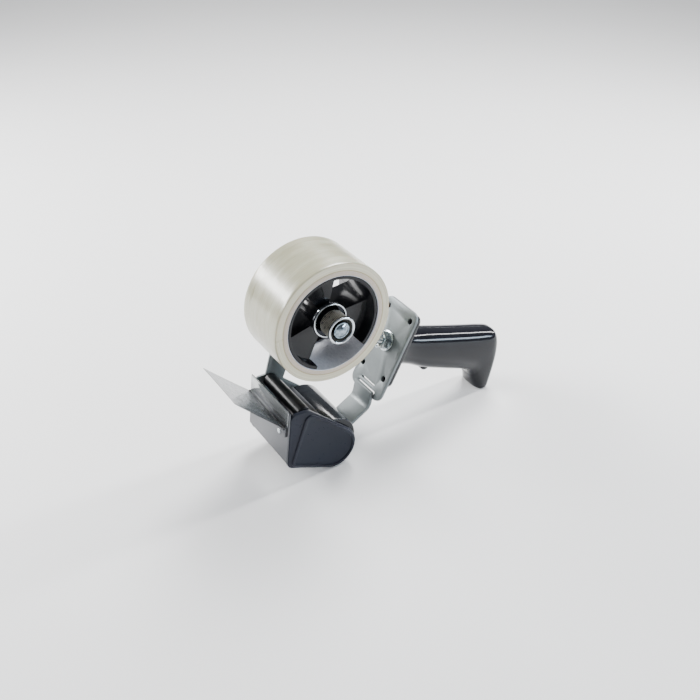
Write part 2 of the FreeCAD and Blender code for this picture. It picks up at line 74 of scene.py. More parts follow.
class Finish:
    """A Principled material with small helpers for its procedural detail."""

    def __init__(self, name, **sockets):
        self.material = bpy.data.materials.new(name)
        self.material.use_nodes = True
        self.tree = self.material.node_tree
        self.shader = self.tree.nodes["Principled BSDF"]
        for label, value in sockets.items():
            self.shader.inputs[label.replace("_", " ")].default_value = value
        self.place = self.node("ShaderNodeTexCoord").outputs["Object"]

    def node(self, kind, **settings):
        made = self.tree.nodes.new(kind)
        for label, value in settings.items():
            setattr(made, label, value)
        return made

    def join(self, source, target):
        self.tree.links.new(source, target)

    def math(self, operation, *values):
        made = self.node("ShaderNodeMath", operation=operation)
        for i, value in enumerate(values):
            if isinstance(value, (int, float)):
                made.inputs[i].default_value = value
            else:
                self.join(value, made.inputs[i])
        return made.outputs[0]

    def axes(self, centre=(0, 0, 0)):
        """Distances from a centre, along X, Y and Z."""
        moved = self.node("ShaderNodeVectorMath", operation="SUBTRACT")
        self.join(self.place, moved.inputs[0])
        moved.inputs[1].default_value = centre
        split = self.node("ShaderNodeSeparateXYZ")
        self.join(moved.outputs[0], split.inputs[0])
        return split.outputs

    def radius(self, centre):
        """Distance from an axis along Y."""
        x, _, z = self.axes(centre)
        squares = self.math("ADD", self.math("MULTIPLY", x, x), self.math("MULTIPLY", z, z))
        return self.math("SQRT", squares)

    def around(self, centre):
        """Angle round an axis along Y, in radians."""
        x, _, z = self.axes(centre)
        return self.math("ARCTAN2", z, x)

    def combine(self, x=0.0, y=0.0, z=0.0):
        made = self.node("ShaderNodeCombineXYZ")
        for i, value in enumerate((x, y, z)):
            if isinstance(value, (int, float)):
                made.inputs[i].default_value = value
            else:
                self.join(value, made.inputs[i])
        return made.outputs[0]

    def noise(self, scale, detail=4.0, roughness=0.55, vector=None, stretch=(1, 1, 1)):
        mapping = self.node("ShaderNodeMapping")
        mapping.inputs["Scale"].default_value = stretch
        self.join(vector if vector is not None else self.place, mapping.inputs["Vector"])
        made = self.node("ShaderNodeTexNoise")
        made.inputs["Scale"].default_value = scale
        made.inputs["Detail"].default_value = detail
        made.inputs["Roughness"].default_value = roughness
        self.join(mapping.outputs[0], made.inputs["Vector"])
        return made.outputs["Fac"]

    def ramp(self, value, *stops):
        made = self.node("ShaderNodeValToRGB")
        elements = made.color_ramp.elements
        while len(elements) < len(stops):
            elements.new(0.5)
        for element, (position, colour) in zip(elements, stops):
            element.position = position
            element.color = (*colour, 1.0) if len(colour) == 3 else colour
        self.join(value, made.inputs["Fac"])
        return made.outputs["Color"]

    def blend(self, factor, first, second, mode="MIX"):
        made = self.node("ShaderNodeMix", data_type="RGBA", blend_type=mode)
        sockets = (made.inputs[0], made.inputs[6], made.inputs[7])
        for socket, value in zip(sockets, (factor, first, second)):
            if isinstance(value, (int, float)):
                socket.default_value = value
            elif isinstance(value, tuple):
                socket.default_value = (*value, 1.0)
            else:
                self.join(value, socket)
        return made.outputs[2]

    def between(self, value, low, high):
        """1 where value lies between low and high, otherwise 0."""
        return self.math(
            "MULTIPLY", self.math("GREATER_THAN", value, low), self.math("LESS_THAN", value, high)
        )

    def range(self, value, low, high):
        """Carry a noise's usual span, 0.3 to 0.7, over to low to high."""
        made = self.node("ShaderNodeMapRange")
        self.join(value, made.inputs["Value"])
        made.inputs["From Min"].default_value = 0.3
        made.inputs["From Max"].default_value = 0.7
        made.inputs["To Min"].default_value = low
        made.inputs["To Max"].default_value = high
        return made.outputs[0]

    def colour(self, source):
        self.join(source, self.shader.inputs["Base Color"])

    def rough(self, source):
        self.join(source, self.shader.inputs["Roughness"])

    def bump(self, height, strength, distance=0.0002):
        made = self.node("ShaderNodeBump")
        made.inputs["Strength"].default_value = strength
        made.inputs["Distance"].default_value = distance
        self.join(height, made.inputs["Height"])
        if self.shader.inputs["Normal"].is_linked:
            self.join(self.shader.inputs["Normal"].links[0].from_socket, made.inputs["Normal"])
        self.join(made.outputs[0], self.shader.inputs["Normal"])


def painted_steel():
    """Grey coated sheet steel, satin, with faint rolling marks and handling scuffs."""
    f = Finish("plate_steel", Metallic=0.35, Coat_Weight=0.1, Coat_Roughness=0.35)
    cloud = f.noise(38, 5)
    scuff = f.noise(260, 6, 0.7, stretch=(1, 1, 0.12))
    f.colour(f.ramp(cloud, (0.3, (0.135, 0.155, 0.16)), (0.7, (0.175, 0.195, 0.20))))
    f.rough(f.range(scuff, 0.34, 0.48))
    f.bump(f.noise(900, 3), 0.08, 0.00005)
    f.bump(cloud, 0.03, 0.0001)
    return f.material


def polished_steel(name, base, low, high, along):
    """Bright sheet with fine grinding lines; along stretches them."""
    f = Finish(name, Metallic=0.75, Anisotropic=0.35)
    lines = f.noise(2600, 4, 0.6, stretch=along)
    haze = f.noise(60, 4)
    dark = tuple(c * 0.75 for c in base)
    f.colour(f.blend(haze, dark, base))
    f.rough(f.range(lines, low, high))
    f.bump(lines, 0.1, 0.00004)
    return f.material


def zinc_steel():
    """Zinc-plated hardware: bluish, slightly cloudy."""
    f = Finish("zinc_steel", Metallic=1.0)
    cloud = f.noise(240, 5, 0.6)
    f.colour(f.ramp(
        cloud, (0.3, (0.34, 0.38, 0.40)), (0.55, (0.50, 0.55, 0.57)), (0.75, (0.55, 0.57, 0.50)),
    ))
    f.rough(f.range(f.noise(700, 4), 0.16, 0.3))
    f.bump(f.noise(1500, 3), 0.1, 0.00004)
    return f.material


def chrome():
    """Bright plating, with painted shade near-black inside the spring cup, and blued on the domed nut."""
    f = Finish("chrome_plate", Metallic=1.0)
    cup_floor, nut_back = -18.8 * MM, -31.8 * MM
    cup_inside, nut_outside = 13.0 * MM, 6.6 * MM
    plated = f.ramp(f.noise(90, 3), (0.3, (0.52, 0.56, 0.60)), (0.7, (0.66, 0.70, 0.74)))
    y = f.axes(SPINDLE)[1]
    radius = f.radius(SPINDLE)
    # painted shade: near-black inside the spring cup, where the recess lies in shade
    painted_cup_shade = f.math(
        "MULTIPLY", f.math("GREATER_THAN", y, cup_floor), f.math("LESS_THAN", radius, cup_inside)
    )
    on_nut = f.math(
        "MULTIPLY", f.math("LESS_THAN", y, nut_back), f.math("LESS_THAN", radius, nut_outside)
    )
    blued = f.ramp(f.noise(420, 4, 0.6), (0.35, (0.10, 0.135, 0.165)), (0.65, (0.34, 0.41, 0.46)))
    f.colour(f.blend(on_nut, f.blend(painted_cup_shade, plated, (0.02, 0.022, 0.026)), blued))
    f.rough(f.range(f.noise(800, 4), 0.06, 0.15))
    f.bump(f.noise(1200, 3), 0.04, 0.00003)
    return f.material


def brass():
    """Turned bushing brass, with its rings round the axis."""
    f = Finish("bushing_brass", Metallic=1.0)
    turned = f.noise(1.0, 2, vector=f.combine(0.0, f.math("MULTIPLY", f.axes()[1], 4000.0)))
    f.colour(f.ramp(turned, (0.3, (0.40, 0.29, 0.13)), (0.7, (0.55, 0.42, 0.21))))
    f.rough(f.range(turned, 0.22, 0.36))
    return f.material


def knob_metal():
    """Dull nickel on the knurl, with painted shade dark in the grooves."""
    f = Finish("knob_metal", Metallic=0.7)
    above_root = f.math("SUBTRACT", f.radius(SPINDLE), KNURL_ROOT_R * MM)
    depth = f.math("MULTIPLY", above_root, 1000.0 / (KNOB_R - KNURL_ROOT_R))
    tone = f.noise(500, 4)
    # painted shade: both tones go near-black towards the groove roots
    groove_shaded_dull = f.ramp(
        depth, (0.1, (0.012, 0.012, 0.010)), (0.6, (0.20, 0.19, 0.15)), (1.0, (0.62, 0.60, 0.52)),
    )
    bright = f.ramp(depth, (0.1, (0.02, 0.019, 0.016)), (1.0, (0.70, 0.68, 0.60)))
    f.colour(f.blend(tone, groove_shaded_dull, bright))
    f.rough(f.range(tone, 0.24, 0.4))
    return f.material


def moulded_black(name, tint, low, high, grain, grain_strength, coat):
    """Injection-moulded black plastic; grain is the texture's scale per metre.

    The cap's recessed panel is given a flat bluer tint as painted sheen, and the handle has a parting line."""
    f = Finish(name, Coat_Weight=coat, Coat_Roughness=0.06, Specular_IOR_Level=0.16)
    light = tuple(c * 1.5 + 0.002 for c in tint)
    mottle = f.ramp(f.noise(55, 4), (0.3, tint), (0.75, light))
    if name == "cap_plastic":
        # painted sheen: the recessed panel is set to a flat bluer tint for the sheen it shows
        panel = f.math("COMPARE", f.axes(SPINDLE)[1], CAP_PANEL_Y * MM, 0.03 * MM)
        mottle = f.blend(panel, mottle, (0.016, 0.019, 0.029))
    if name == "handle_plastic":
        seam = f.math("LESS_THAN", f.math("ABSOLUTE", f.axes(SPINDLE)[1]), 0.16 * MM)
        f.bump(seam, 0.5, 0.0001)
    f.colour(mottle)
    f.rough(f.range(f.noise(420, 5, 0.65), low, high))
    f.bump(f.noise(grain, 4, 0.6), grain_strength, 0.00006)
    f.bump(f.noise(45, 2), 0.1, 0.0008)
    return f.material


def roller_rubber():
    """Smooth black rubber, ground round, with faint wear bands and dust."""
    f = Finish("roller_rubber", Coat_Weight=0.3, Coat_Roughness=0.08, Specular_IOR_Level=0.2)
    along = f.axes(ROLLER)[1]
    turn = f.math("MULTIPLY", f.around(ROLLER), 0.4)
    rings = f.noise(1.0, 3, vector=f.combine(0.0, f.math("MULTIPLY", along, 900.0), turn))
    dust = f.noise(330, 6, 0.75)
    f.colour(f.ramp(
        dust, (0.45, (0.007, 0.009, 0.012)), (0.66, (0.012, 0.014, 0.018)), (0.9, (0.04, 0.043, 0.05)),
    ))
    f.rough(f.range(rings, 0.13, 0.18))
    return f.material


def tape_film():
    """Wound clear tape: cream rings on the sides, hazy bands and trapped air on the outside."""
    f = Finish(
        "tape_film", Coat_Weight=0.6, Coat_Roughness=0.2, Subsurface_Weight=0.08, Subsurface_Scale=0.004,
    )
    radius = f.radius(SPINDLE)
    across = f.axes(SPINDLE)[1]
    turn = f.around(SPINDLE)
    fine = f.combine(f.math("MULTIPLY", radius, 5200.0), 0.0, f.math("MULTIPLY", turn, 0.25))
    rings = f.noise(1.0, 5, 0.7, vector=fine)
    broad = f.combine(f.math("MULTIPLY", radius, 800.0), f.math("MULTIPLY", turn, 0.35))
    wide = f.noise(1.0, 3, 0.6, vector=broad)
    side = f.ramp(
        wide, (0.25, (0.42, 0.38, 0.22)), (0.5, (0.60, 0.56, 0.38)), (0.75, (0.76, 0.73, 0.57)),
    )
    side = f.blend(0.4, side, f.ramp(rings, (0.3, (0.34, 0.29, 0.18)), (0.7, (0.86, 0.82, 0.70))))
    depth = f.math(
        "MULTIPLY", f.math("SUBTRACT", radius, CORE_OUTER_R * MM), 1000.0 / (TAPE_R - CORE_OUTER_R)
    )
    shade = f.ramp(
        depth, (0.0, (0.50, 0.40, 0.28)), (0.07, (0.72, 0.64, 0.50)), (0.2, (1, 1, 1)),
        (0.82, (1, 1, 1)), (0.93, (0.74, 0.70, 0.58)), (1.0, (1, 1, 1)),
    )
    side = f.blend(1.0, side, shade, "MULTIPLY")
    haze = f.combine(f.math("MULTIPLY", across, 150.0), f.math("MULTIPLY", turn, 1.3))
    bands = f.noise(1.0, 4, 0.6, vector=haze)
    thin = f.combine(f.math("MULTIPLY", across, 1700.0), f.math("MULTIPLY", turn, 0.5))
    lines = f.noise(1.0, 4, 0.7, vector=thin)
    outside = f.ramp(
        bands, (0.3, (0.25, 0.245, 0.15)), (0.55, (0.33, 0.325, 0.22)), (0.8, (0.50, 0.495, 0.37)),
    )
    streaks = f.ramp(lines, (0.35, (0.22, 0.21, 0.13)), (0.7, (0.74, 0.72, 0.62)))
    outside = f.blend(0.22, outside, streaks)
    is_side = f.math("LESS_THAN", radius, (TAPE_R - 0.4) * MM)
    f.colour(f.blend(is_side, outside, side))
    f.rough(f.range(bands, 0.26, 0.42))
    f.bump(f.math("MULTIPLY", rings, is_side), 0.5, 0.00015)
    f.bump(f.math("MULTIPLY", lines, f.math("SUBTRACT", 1.0, is_side)), 0.16, 0.00006)
    return f.material


def core_board():
    """Spiral-wound paper board, pale inside with a faint seam, browner on its cut edge."""
    f = Finish("core_board", Roughness=0.62)
    across = f.axes(SPINDLE)[1]
    turn = f.around(SPINDLE)
    radius = f.radius(SPINDLE)
    pitch = f.math("MULTIPLY", across, 1 / 0.062)
    wrap = f.math("FRACT", f.math("ADD", f.math("MULTIPLY", turn, 1 / (2 * math.pi)), pitch))
    grey = (0.25, 0.25, 0.27)
    seam = f.ramp(wrap, (0.0, grey), (0.02, (1, 1, 1)), (0.98, (1, 1, 1)), (1.0, grey))
    fibre = f.noise(900, 5, 0.7, stretch=(1, 0.4, 1))
    paper = f.ramp(fibre, (0.3, (0.55, 0.57, 0.64)), (0.7, (0.76, 0.78, 0.84)))
    layers = f.noise(1.0, 3, vector=f.combine(f.math("MULTIPLY", radius, 4200.0)))
    edge = f.ramp(layers, (0.35, (0.30, 0.22, 0.15)), (0.65, (0.74, 0.66, 0.56)))
    cut = f.math("GREATER_THAN", radius, 38.45 * MM)
    f.colour(f.blend(cut, f.blend(0.35, paper, seam, "MULTIPLY"), edge))
    f.bump(fibre, 0.35, 0.00012)
    return f.material


def fibre_washer():
    """Dark pressed fibre."""
    f = Finish("fibre", Roughness=0.8)
    f.colour(f.ramp(f.noise(1200, 5, 0.7), (0.3, (0.06, 0.04, 0.03)), (0.7, (0.14, 0.10, 0.07))))
    f.bump(f.noise(1500, 4), 0.4, 0.0001)
    return f.material


def flap_film():
    """Stiff smoky film with a pale printed patch: plain bars stand in for its lines of print. Its near-black
    border is painted shade.
    """
    f = Finish("flap_film", Roughness=0.3, Coat_Weight=0.15, Coat_Roughness=0.15)
    x, y, z = f.axes(FLAP_ROOT)
    slope = math.radians(FLAP_UP)
    along = f.math(
        "ADD", f.math("MULTIPLY", x, math.cos(slope) / MM), f.math("MULTIPLY", z, math.sin(slope) / MM)
    )
    across = f.math("MULTIPLY", y, 1 / MM)
    row_pitch = 4.0
    haze = f.noise(70, 5, 0.6)
    film = f.ramp(haze, (0.3, (0.07, 0.08, 0.088)), (0.7, (0.12, 0.133, 0.142)))
    patch = f.math("MULTIPLY", f.between(along, 9.0, 45.0), f.between(across, -20.0, 20.0))
    pale = f.ramp(f.noise(150, 5), (0.3, (0.13, 0.143, 0.15)), (0.7, (0.19, 0.205, 0.215)))
    row = f.math("MULTIPLY", across, 1 / row_pitch)
    place = f.combine(f.math("FLOOR", row), f.math("MULTIPLY", along, 0.45))
    bars = f.math("GREATER_THAN", f.noise(1.0, 1, vector=place), 0.46)
    ink = f.math("MULTIPLY", f.between(f.math("FRACT", row), 0.3, 0.62), bars)
    margin = f.math("MULTIPLY", f.between(along, 12.0, 42.0), f.between(across, -16.0, 16.0))
    ink = f.math("MULTIPLY", ink, margin)
    printed = f.blend(f.math("MULTIPLY", ink, 0.7), pale, (0.045, 0.05, 0.055))
    # painted shade: a near-black border round the film's root, tip and sides
    body = f.math("MULTIPLY", f.between(along, 2.0, 50.2), f.between(across, -26.2, 26.2))
    f.colour(f.blend(body, (0.012, 0.013, 0.015), f.blend(patch, film, printed)))
    f.rough(f.range(f.noise(300, 5), 0.14, 0.26))
    f.bump(haze, 0.08, 0.0004)
    return f.material


def floor_finish():
    """Plain matt backdrop paper."""
    f = Finish("floor", Roughness=0.75)
    f.colour(f.ramp(f.noise(3, 3), (0.3, (0.78, 0.78, 0.78)), (0.7, (0.80, 0.80, 0.80))))
    return f.material


FINISHES = {
    "plate_steel": painted_steel(),
    "bright_steel": polished_steel("bright_steel", (0.13, 0.135, 0.145), 0.3, 0.44, (0.03, 1, 1)),
    "blade_steel": polished_steel("blade_steel", (0.55, 0.57, 0.58), 0.14, 0.26, (1, 0.03, 1)),
    "spring_wire": polished_steel("spring_wire", (0.50, 0.51, 0.53), 0.2, 0.34, (1, 1, 1)),
    "zinc_steel": zinc_steel(),
    "chrome_plate": chrome(),
    "bushing_brass": brass(),
    "knob_metal": knob_metal(),
    "cap_plastic": moulded_black("cap_plastic", (0.013, 0.015, 0.023), 0.26, 0.38, 1500, 0.04, 0.0),
    "handle_plastic": moulded_black(
        "handle_plastic", (0.003, 0.0035, 0.006), 0.10, 0.17, 900, 0.015, 0.3),
    "hub_plastic": moulded_black("hub_plastic", (0.004, 0.0045, 0.006), 0.14, 0.26, 1100, 0.04, 0.25),
    "guide_plastic": moulded_black("guide_plastic", (0.003, 0.0035, 0.004), 0.26, 0.40, 1700, 0.08, 0.0),
    "roller_plastic": moulded_black("roller_plastic", (0.020, 0.020, 0.022), 0.35, 0.5, 1300, 0.08, 0.0),
    "roller_rubber": roller_rubber(),
    "tape_film": tape_film(),
    "core_board": core_board(),
    "fibre": fibre_washer(),
    "flap_film": flap_film(),
}
SLOT_OF = {part["node"]: part["material_slot"] for part in frame["record"]["subparts"]}


def dress(piece, slot_name):
    piece.data.materials.clear()
    piece.data.materials.append(FINISHES[slot_name])


# ---- carried-over nodes -------------------------------------------------------------------

def soften(node, width, segments=2, angle=35.0):
    """Stand a copy of a CAD node in for it, with its sharp edges rounded over."""
    source = frame["nodes"][node]
    mesh = source.data.copy()
    made = bmesh.new()
    made.from_mesh(mesh)
    bmesh.ops.remove_doubles(made, verts=made.verts, dist=1e-6)
    bmesh.ops.dissolve_limit(made, angle_limit=math.radians(0.5), verts=made.verts, edges=made.edges)
    made.to_mesh(mesh)
    made.free()
    piece = bpy.data.objects.new(node + "_shell", mesh)
    bpy.context.collection.objects.link(piece)
    bevel = piece.modifiers.new("bevel", "BEVEL")
    bevel.width = width * MM
    bevel.segments = segments
    bevel.limit_method = "ANGLE"
    bevel.angle_limit = math.radians(angle)
    bevel.use_clamp_overlap = True
    settle(piece)
    piece.data.shade_smooth()
    dress(piece, SLOT_OF[node])
    stand_in(piece, node)
    return piece


def settle(piece):
    """Apply every modifier on a piece."""
    graph = bpy.context.evaluated_depsgraph_get()
    done = bpy.data.meshes.new_from_object(piece.evaluated_get(graph))
    piece.modifiers.clear()
    piece.data = done


def body_of_node(node):
    for body, nodes in frame["record"]["behaviour"]["bodies"].items():
        if node in nodes:
            return body


def stand_in(piece, node):
    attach(piece, body_of_node(node))
    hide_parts(node)


# ---- modelled pieces ----------------------------------------------------------------------

def piece_from(name, node, verts, faces, creases=False):
    """A new smooth-shaded piece in the row frame that stands in for a CAD node."""
    mesh = bpy.data.meshes.new(name)
    mesh.from_pydata([tuple(v) for v in verts], [], faces)
    made = bmesh.new()
    made.from_mesh(mesh)
    bmesh.ops.recalc_face_normals(made, faces=made.faces)
    made.to_mesh(mesh)
    made.free()
    piece = bpy.data.objects.new(name, mesh)
    bpy.context.collection.objects.link(piece)
    mesh.shade_smooth()
    if creases:
        mesh.set_sharp_from_angle(angle=math.radians(32))
    dress(piece, SLOT_OF[node])
    stand_in(piece, node)
    return piece


def tube_faces(rings, around, base=0, capped=True):
    """Faces joining rings of points into a tube, with a flat cap at each end."""
    faces = []
    for i in range(rings - 1):
        a = base + i * around
        b = a + around
        for k in range(around):
            m = (k + 1) % around
            faces.append((a + k, a + m, b + m, b + k))
    if capped:
        faces.append(tuple(base + k for k in range(around)))
        faces.append(tuple(base + (rings - 1) * around + k for k in range(around)))
    return faces


def loop_faces(loops, count):
    """Faces joining closed profiles of count points all the way round an axis."""
    faces = []
    for i in range(loops):
        a = i * count
        b = ((i + 1) % loops) * count
        for j in range(count):
            k = (j + 1) % count
            faces.append((a + j, a + k, b + k, b + j))
    return faces


def turned(name, node, centre, profile, segments=160, radius_at=None):
    """Turn a closed profile of (radius, y) in mm round an axis along Y.

    radius_at(radius, index, angle) may change a radius as the angle goes round."""
    verts = []
    for i in range(segments):
        angle = 2 * math.pi * i / segments
        for j, (radius, y) in enumerate(profile):
            r = radius_at(radius, j, angle) if radius_at else radius
            verts.append(centre + Vector((r * math.cos(angle), y, r * math.sin(angle))) * MM)
    return piece_from(name, node, verts, loop_faces(segments, len(profile)), creases=True)


def rounded_ring(inner, outer, y0, y1, edge, steps=5):
    """Profile of a tube with its outer edges rounded and its inner ones just broken."""
    points = [(inner + 0.15, y0), (outer - edge, y0)]
    for i in range(1, steps + 1):
        t = math.pi / 2 * i / steps
        points.append((outer - edge + edge * math.sin(t), y0 + edge - edge * math.cos(t)))
    for i in range(steps + 1):
        t = math.pi / 2 * i / steps
        points.append((outer - edge + edge * math.cos(t), y1 - edge + edge * math.sin(t)))
    points += [(inner + 0.15, y1), (inner, y1 - 0.15), (inner, y0 + 0.15)]
    return points


def tape_wrap():
    """The wound tape: its outer end makes a small step, and its sides are a little uneven."""
    rng = random.Random(4)
    half = TAPE_HALF_WIDTH
    side = [(CORE_OUTER_R + 0.5 * i, half - rng.uniform(0.0, 0.09)) for i in range(12)]
    edge = [(TAPE_R - 0.4, half - 0.02), (TAPE_R - 0.14, half - 0.12), (TAPE_R, half - 0.4)]
    across = [(TAPE_R, half - 0.4 - (2 * half - 0.8) * i / 24) for i in range(1, 24)]
    profile = [(r, -y) for r, y in side] + [(r, -y) for r, y in edge]
    profile += [(r, -y) for r, y in across] + edge[::-1] + side[::-1]
    segments = 300
    tail = math.radians(204)    # where the free end lies
    film = 0.16                 # drop at the free end
    verts = []
    for i in range(segments + 1):
        share = i / segments
        angle = tail + 2 * math.pi * share
        for r, y in profile:
            loss = film * (1 - share) if r > TAPE_R - 0.5 else 0.0
            wave = 0.025 * math.sin(7 * angle + 0.3 * y) if r > TAPE_R - 0.1 else 0.0
            radius = r - loss - abs(wave)
            verts.append(SPINDLE + Vector((radius * math.cos(angle), y, radius * math.sin(angle))) * MM)
    faces = loop_faces(segments + 1, len(profile))
    piece_from("tape_winding", "tape_wrap", verts, faces, creases=True)


def knob():
    """Knurled barrel, hollow at the back for the spring and dished at its outer end."""
    teeth = 60
    profile = [
        (KNURL_ROOT_R, -20.4), (KNOB_R, -21.0), (KNOB_R, -33.1), (9.6, -33.6), (7.8, -33.6),
        (7.6, -33.3), (7.6, -30.4), (4.06, -30.4), (4.06, -28.2), (8.1, -28.2), (8.1, -20.4),
    ]

    def knurl(radius, index, angle):
        if index not in (1, 2):
            return radius
        phase = (angle * teeth / (2 * math.pi)) % 1.0
        return radius - 0.62 * (1 - min(1.0, 1.5 * abs(2 * phase - 1)))

    turned("knurled_barrel", "brake_knob", SPINDLE, profile, teeth * 6, knurl)
    ring = [
        (9.0, -33.6), (10.9, -33.6), (10.9, -34.3), (10.75, -34.75), (10.4, -35.02), (10.0, -35.1),
        (9.6, -35.02), (9.25, -34.7), (9.0, -34.3),
    ]
    turned("barrel_ring", "knob_ring", SPINDLE, ring, 128)


def coil_spring():
    """Brake spring as a true helix with its end turns closed up."""
    turns, steps, sides = 5.2, 300, 12
    coil_r, wire_r, start, length = 6.2, 0.6, -18.1, 6.8
    verts = []
    for i in range(steps + 1):
        share = i / steps
        angle = 2 * math.pi * turns * share
        eased = share - 0.06 * math.sin(2 * math.pi * share)
        centre = Vector((coil_r * math.cos(angle), start - length * eased, coil_r * math.sin(angle)))
        outward = Vector((math.cos(angle), 0, math.sin(angle)))
        for k in range(sides):
            t = 2 * math.pi * k / sides
            offset = outward * math.cos(t) + Vector((0, 1, 0)) * math.sin(t)
            verts.append(SPINDLE + (centre + offset * wire_r) * MM)
    piece_from("brake_coil", "brake_spring", verts, tube_faces(steps + 1, sides))


def plane_point(foot, degrees, up, y, out):
    """A point in a sloping plate's own frame: up it, along Y and out of its face, in mm."""
    c, s = math.cos(math.radians(degrees)), math.sin(math.radians(degrees))
    return foot + Vector((up * c - out * s, y, up * s + out * c)) * MM


def threaded_bolt():
    """Bolt through the handle plate, with a real thread on the end that shows."""
    around, pitch, bottom, top = 24, 1.25, -45.0, 13.5
    bolt_up, crest_r, thread_depth, end_r = 46.5, 3.98, 0.6, 3.3
    levels = int((top - bottom) / 0.16)
    verts = []
    for i in range(levels + 1):
        out = bottom + (top - bottom) * i / levels
        for k in range(around):
            turn = 2 * math.pi * k / around
            phase = (out / pitch - k / around) % 1.0
            radius = crest_r - thread_depth * (1 - abs(2 * phase - 1))
            radius = min(radius, end_r + (top - out) * 0.9)
            along = bolt_up + radius * math.cos(turn)
            verts.append(plane_point(PLATE_FOOT, PLATE_UP, along, radius * math.sin(turn), out))
    faces = tube_faces(levels + 1, around)
    piece_from("handle_thread", "handle_bolt", verts, faces, creases=True)


def flap():
    """Tapered film with a slight curl, thin, and rolled round a bead at its root."""
    rows, columns, thick = 26, 22, 0.42
    length, root_half, tip_half, bead_r = 52.0, 28.0, 25.5, 1.1
    verts = []
    for side in (-1, 1):
        for i in range(rows + 1):
            share = i / rows
            half = root_half + (tip_half - root_half) * share
            for j in range(columns + 1):
                y = half * (2 * j / columns - 1)
                curl = -0.9 * share * share + 0.25 * (y / root_half) ** 2 * share
                out = curl + side * thick / 2
                verts.append(plane_point(FLAP_ROOT, FLAP_UP, length * share, y, out))
    layer = (rows + 1) * (columns + 1)
    faces = []
    for i in range(rows):
        for j in range(columns):
            a = i * (columns + 1) + j
            quad = (a, a + 1, a + columns + 2, a + columns + 1)
            faces += [quad, tuple(v + layer for v in quad)]
    rim = list(range(columns + 1))
    rim += [(i + 1) * (columns + 1) - 1 for i in range(1, rows + 1)]
    rim += [rows * (columns + 1) + j for j in range(columns - 1, -1, -1)]
    rim += [i * (columns + 1) for i in range(rows - 1, 0, -1)]
    for i, a in enumerate(rim):
        b = rim[(i + 1) % len(rim)]
        faces.append((a, b, b + layer, a + layer))
    base = len(verts)
    sides = 16
    for y in (-root_half, 0.4 - root_half, root_half - 0.4, root_half):
        radius = bead_r if abs(y) < root_half - 0.2 else 0.75
        for k in range(sides):
            t = 2 * math.pi * k / sides
            verts.append(FLAP_ROOT + Vector((radius * math.cos(t), y, radius * math.sin(t))) * MM)
    faces += tube_faces(4, sides, base)
    piece_from("flap_sheet", "film_flap", verts, faces, creases=True)


# Side view of the grip: matching points on its upper/back edge and its lower/front edge.
GRIP_STATIONS = [
    ((69.0, -42.4), (59.0, -65.4)), ((78.0, -45.0), (67.0, -69.4)),
    ((90.0, -48.8), (80.0, -75.4)), ((104.0, -53.2), (94.0, -83.6)),
    ((120.0, -58.4), (110.0, -90.8)), ((136.0, -63.4), (126.0, -97.4)),
    ((149.0, -67.4), (137.0, -102.0)), ((161.0, -71.0), (144.0, -106.0)),
    ((170.4, -74.6), (147.6, -111.2)), ((173.6, -80.5), (148.8, -115.0)),
    ((173.8, -90.0), (149.8, -118.4)), ((172.2, -100.0), (150.6, -121.2)),
    ((169.8, -110.0), (151.3, -123.6)), ((167.4, -118.6), (151.9, -125.2)),
    ((165.9, -124.0), (152.6, -126.6)),
]


def smooth_path(points, steps):
    """Points of a Catmull-Rom curve through points."""
    path = []
    ends = [points[0]] + points + [points[-1]]
    for i in range(len(points) - 1):
        p0, p1, p2, p3 = (Vector(p) for p in ends[i:i + 4])
        for k in range(steps):
            t = k / steps
            path.append(0.5 * (
                2 * p1 + (p2 - p0) * t + (2 * p0 - 5 * p1 + 4 * p2 - p3) * t ** 2
                + (3 * p1 - p0 - 3 * p2 + p3) * t ** 3
            ))
    path.append(Vector(points[-1]))
    return path


def grip():
    """Moulded handle: a rounded section carried along the grip and down into its heel."""
    uppers = smooth_path([pair[0] for pair in GRIP_STATIONS], 6)
    lowers = smooth_path([pair[1] for pair in GRIP_STATIONS], 6)
    around = 72
    verts = []

    def ring(upper, lower, half, power_up, power_low):
        middle = (upper + lower) / 2
        reach = (upper - lower) / 2
        for k in range(around):
            t = 2 * math.pi * k / around
            power = power_up if math.sin(t) > 0 else power_low
            c = math.copysign(abs(math.cos(t)) ** (2 / power), math.cos(t))
            s = math.copysign(abs(math.sin(t)) ** (2 / power), math.sin(t))
            at = middle + reach * s
            verts.append(SPINDLE + Vector((at.x, half * c, at.y)) * MM)

    count = len(uppers)
    for i in range(count):
        share = i / (count - 1)
        flare = math.exp(-(i / 7.0) ** 2)
        half = 14.0 - 1.1 * share ** 3 + 3.2 * flare
        swell = (uppers[i] - lowers[i]) * (0.035 + 0.05 * flare) * (1 - share)
        ring(uppers[i] + swell, lowers[i] - swell, half, 2.5 + 0.5 * share, 2.4 + 0.8 * share)
    for inset, z, half in ((0.6, -126.8, 12.4), (1.6, -127.3, 11.6), (3.2, -127.5, 10.2)):
        ring(Vector((165.3 - inset, z)), Vector((152.7 + inset, z)), half, 3.2, 3.4)
    piece_from("grip_moulding", "handle_grip", verts, tube_faces(len(verts) // around, around))


